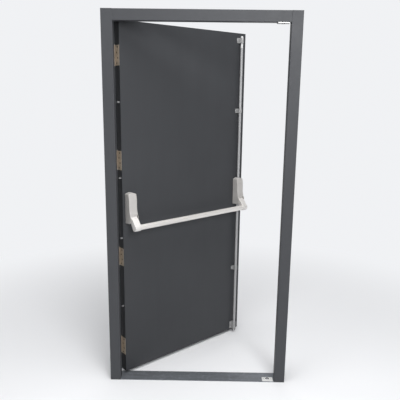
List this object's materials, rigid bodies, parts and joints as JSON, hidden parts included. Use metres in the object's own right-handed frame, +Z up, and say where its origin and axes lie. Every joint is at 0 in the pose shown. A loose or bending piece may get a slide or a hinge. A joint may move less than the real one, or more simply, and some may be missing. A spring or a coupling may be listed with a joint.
{
  "type": "fire exit door with frame",
  "caption": "Single steel fire exit door standing open in its steel frame, with a push-bar panic bolt and vertical rods on the inner face.",
  "frame": {"origin": "on the floor, in the middle of the frame's width and depth, on the underside of the threshold", "axes": "+X to the right along the frame seen from inside, +Y outwards through the doorway, +Z up"},
  "size_m": [1, 0.689, 2.025],
  "materials": {
    "frame_paint": "satin",
    "leaf_paint": "satin",
    "seal_rubber": "matte",
    "threshold_steel": "brushed",
    "core_board": "matte",
    "hinge_bronze": "satin",
    "cast_silver": "satin",
    "bar_satin": "satin",
    "rod_silver": "satin",
    "bolt_white": "gloss",
    "keep_steel": "brushed",
    "zinc_steel": "zinc plated"
  },
  "bodies": {
    "frame": {"jamb_hinge_side": "frame_paint", "jamb_lock_side": "frame_paint", "frame_head": "frame_paint", "threshold": "threshold_steel", "seal_hinge_side": "seal_rubber", "seal_lock_side": "seal_rubber", "seal_head": "seal_rubber", "hinge_1_frame_leaf": "hinge_bronze", "hinge_1_pin": "hinge_bronze", "hinge_2_frame_leaf": "hinge_bronze", "hinge_2_pin": "hinge_bronze", "hinge_3_frame_leaf": "hinge_bronze", "hinge_3_pin": "hinge_bronze", "hinge_4_frame_leaf": "hinge_bronze", "hinge_4_pin": "hinge_bronze", "hinge_backing_plates": "zinc_steel", "hinge_screws_frame": "hinge_bronze", "top_keep": "keep_steel", "floor_keep": "keep_steel", "keep_screws": "zinc_steel"},
    "leaf": {"leaf_outer_skin": "leaf_paint", "leaf_inner_skin": "leaf_paint", "leaf_core": "core_board", "hinge_reinforcements": "zinc_steel", "hardware_reinforcements": "zinc_steel", "hinge_1_door_leaf": "hinge_bronze", "hinge_2_door_leaf": "hinge_bronze", "hinge_3_door_leaf": "hinge_bronze", "hinge_4_door_leaf": "hinge_bronze", "hinge_screws_door": "hinge_bronze", "dog_bolts": "zinc_steel", "end_case_base": "zinc_steel", "lock_case_base": "zinc_steel", "end_case_cover": "cast_silver", "lock_case_cover": "cast_silver", "end_case_pivot_pin": "zinc_steel", "lock_case_pivot_pin": "zinc_steel", "case_screws": "zinc_steel", "rod_guide_upper": "cast_silver", "rod_guide_lower": "cast_silver", "top_bolt_guide": "cast_silver", "bottom_bolt_guide": "cast_silver", "guide_screws": "zinc_steel"},
    "push_bar": {"arm_hinge_side": "cast_silver", "arm_lock_side": "cast_silver", "push_bar_tube": "bar_satin"},
    "rocker": {"rocker": "zinc_steel"},
    "upper_bolt_rod": {"top_rod_carrier": "zinc_steel", "top_rod": "rod_silver", "top_bolt": "bolt_white"},
    "lower_bolt_rod": {"bottom_rod_carrier": "zinc_steel", "bottom_rod": "rod_silver", "bottom_bolt": "zinc_steel"}
  },
  "joints": [
    {"name": "leaf_swing", "type": "hinge", "parent": "frame", "child": "leaf", "pos_m": [-0.45525, 0.054, 0], "axis": [0, 0, 1], "range_deg": [-40.8, 134]},
    {"name": "bar_push", "type": "hinge", "parent": "leaf", "child": "push_bar", "pos_m": [-0.36501, 0.01564, 0.962], "axis": [0.757, 0.6534, 0], "range_deg": [-27, 10]},
    {"name": "rocker_turn", "type": "hinge", "parent": "leaf", "child": "rocker", "pos_m": [0.22993, 0.57674, 0.962], "axis": [0.6534, -0.757, 0], "range_deg": [-47, 17.5]},
    {"name": "top_bolt_throw", "type": "slide", "parent": "leaf", "child": "upper_bolt_rod", "axis": [0, 0, 1], "range_m": [-0.0043, 0.0114]},
    {"name": "bottom_bolt_throw", "type": "slide", "parent": "leaf", "child": "lower_bolt_rod", "axis": [0, 0, -1], "range_m": [-0.0043, 0.0114]}
  ],
  "couplings": [
    {"joint": "rocker_turn", "follows": "bar_push", "ratio": 1.72},
    {"joint": "top_bolt_throw", "follows": "bar_push", "m_per_rad": -0.02398},
    {"joint": "bottom_bolt_throw", "follows": "bar_push", "m_per_rad": -0.02398}
  ]
}
